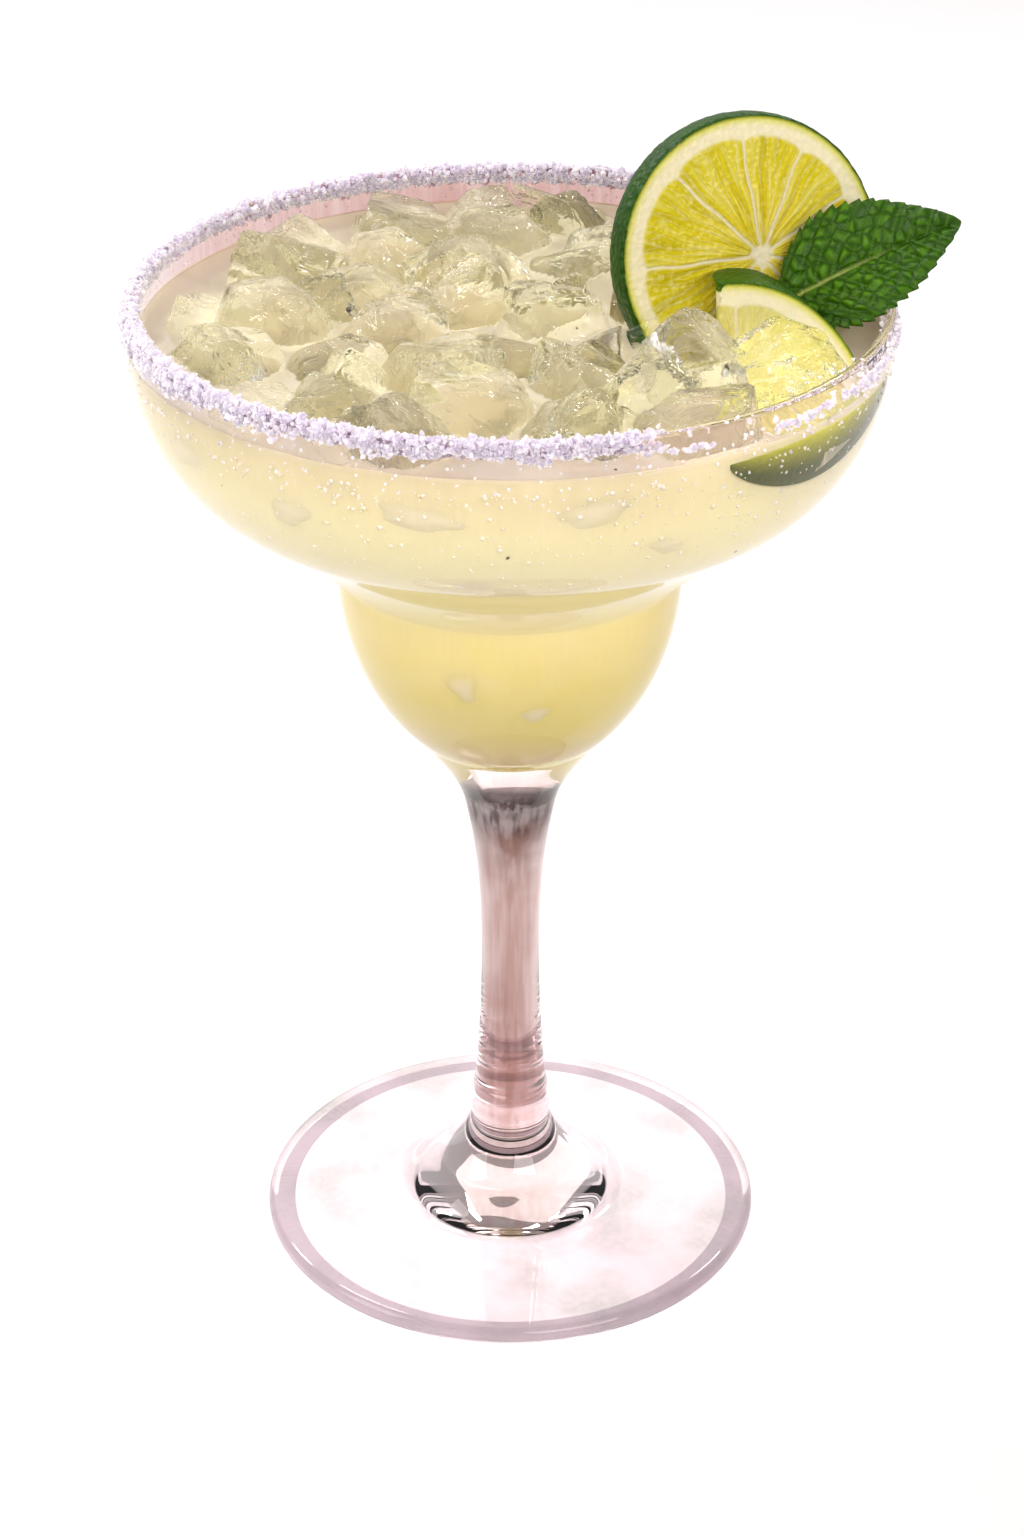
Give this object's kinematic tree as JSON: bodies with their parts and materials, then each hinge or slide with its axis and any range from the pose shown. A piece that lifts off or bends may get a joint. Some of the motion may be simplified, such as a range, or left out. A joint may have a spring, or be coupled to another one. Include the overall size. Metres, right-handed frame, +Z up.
{
  "type": "margarita cocktail",
  "caption": "Margarita in a stepped stemmed glass with a salted rim, ice, a lime wheel, a lime slice and a mint leaf.",
  "frame": {"origin": "centre of the foot, on the table", "axes": "+Z up the stem, -Y to the front of the drink, +X to the side with the garnish"},
  "size_m": [0.1277, 0.1194, 0.1929],
  "materials": {
    "glass": "clear polished glass",
    "drink": "cloudy liquid",
    "salt": "coarse crystals",
    "lime": "wet cut fruit with dark green skin",
    "mint": "fresh leaf",
    "ice": "clear wet ice"
  },
  "bodies": {
    "root": {"glass": "glass", "drink": "drink", "salt_rim": "salt", "lime_wheel": "lime", "lime_slice": "lime", "mint_leaf": "mint", "ice_01": "ice", "ice_02": "ice", "ice_03": "ice", "ice_04": "ice", "ice_05": "ice", "ice_06": "ice", "ice_07": "ice", "ice_08": "ice", "ice_09": "ice", "ice_10": "ice", "ice_11": "ice", "ice_12": "ice", "ice_13": "ice", "ice_15": "ice", "ice_16": "ice", "ice_17": "ice", "ice_18": "ice", "ice_19": "ice", "ice_20": "ice", "ice_21": "ice", "ice_23": "ice", "ice_24": "ice", "ice_25": "ice", "ice_26": "ice", "ice_27": "ice", "ice_28": "ice", "ice_29": "ice", "ice_30": "ice", "ice_32": "ice", "ice_33": "ice"}
  },
  "joints": []
}
